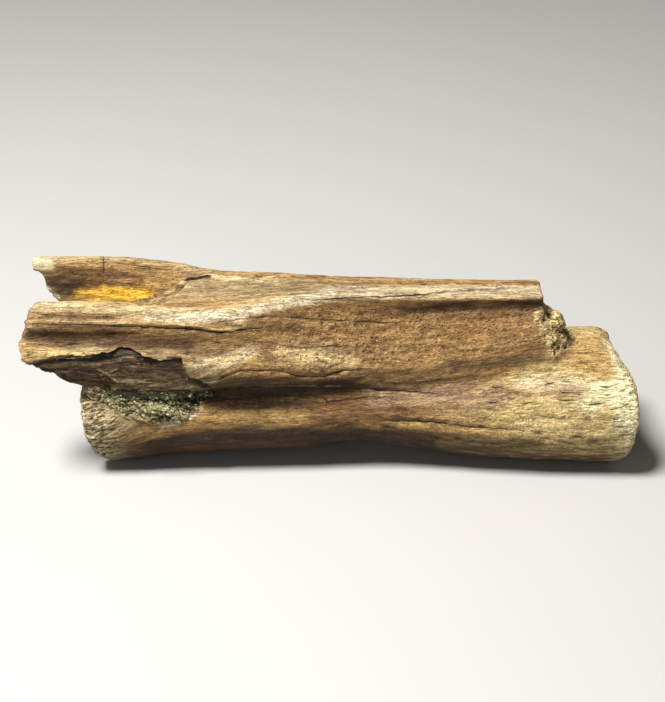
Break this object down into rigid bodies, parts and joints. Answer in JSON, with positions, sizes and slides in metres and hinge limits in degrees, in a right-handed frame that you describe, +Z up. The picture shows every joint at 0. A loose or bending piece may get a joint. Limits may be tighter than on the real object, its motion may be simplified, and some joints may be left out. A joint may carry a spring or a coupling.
{
  "type": "fossil dinosaur tail vertebra",
  "caption": "Long spool-shaped fossil tail vertebra with a low neural arch, two broken forward prongs with a trough between them, and dark sandy rock left in a hollow of its side.",
  "frame": {"origin": "centre of the bounding box's footprint, on the surface that the bone lies on", "axes": "+X along the tail, from the two prongs to the back of the centrum; +Z up, from the belly to the roof of the arch"},
  "size_m": [0.0971, 0.0226, 0.0326],
  "materials": {
    "fossil_bone": "satin mineralised bone, tan to dark brown",
    "sandy_rock": "matte granular dark green rock"
  },
  "bodies": {
    "root": {"vertebra": "fossil_bone", "side_rock": "sandy_rock"}
  },
  "joints": []
}
